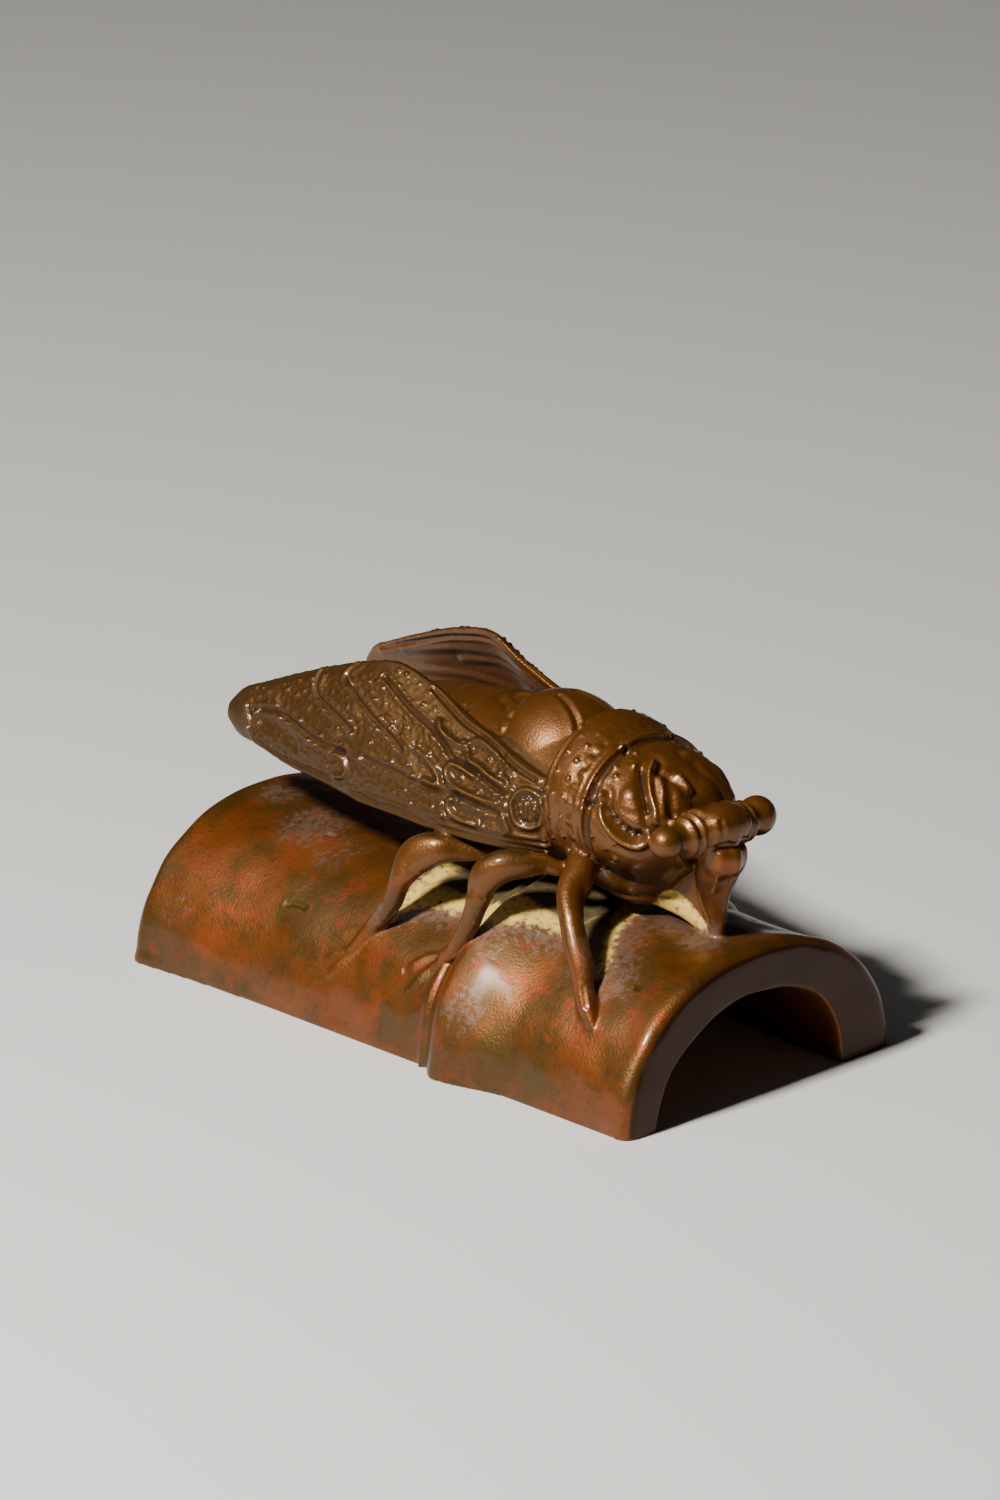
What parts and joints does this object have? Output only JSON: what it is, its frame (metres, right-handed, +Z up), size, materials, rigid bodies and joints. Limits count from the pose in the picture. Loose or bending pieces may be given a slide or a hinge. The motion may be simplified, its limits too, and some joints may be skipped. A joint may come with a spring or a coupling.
{
  "type": "cicada figurine",
  "caption": "Cast bronze cicada with folded wings that stands on a half-round length of split bamboo; a small ornament or paperweight.",
  "frame": {"origin": "on the ground, under the middle of the bamboo", "axes": "+X along the bamboo towards the cicada's head, +Z up"},
  "size_m": [0.098, 0.0554, 0.0492],
  "materials": {
    "bronze_patina": "cast bronze with a waxed brown patina"
  },
  "bodies": {
    "root": {"cicada_on_bamboo": "bronze_patina"}
  },
  "joints": []
}
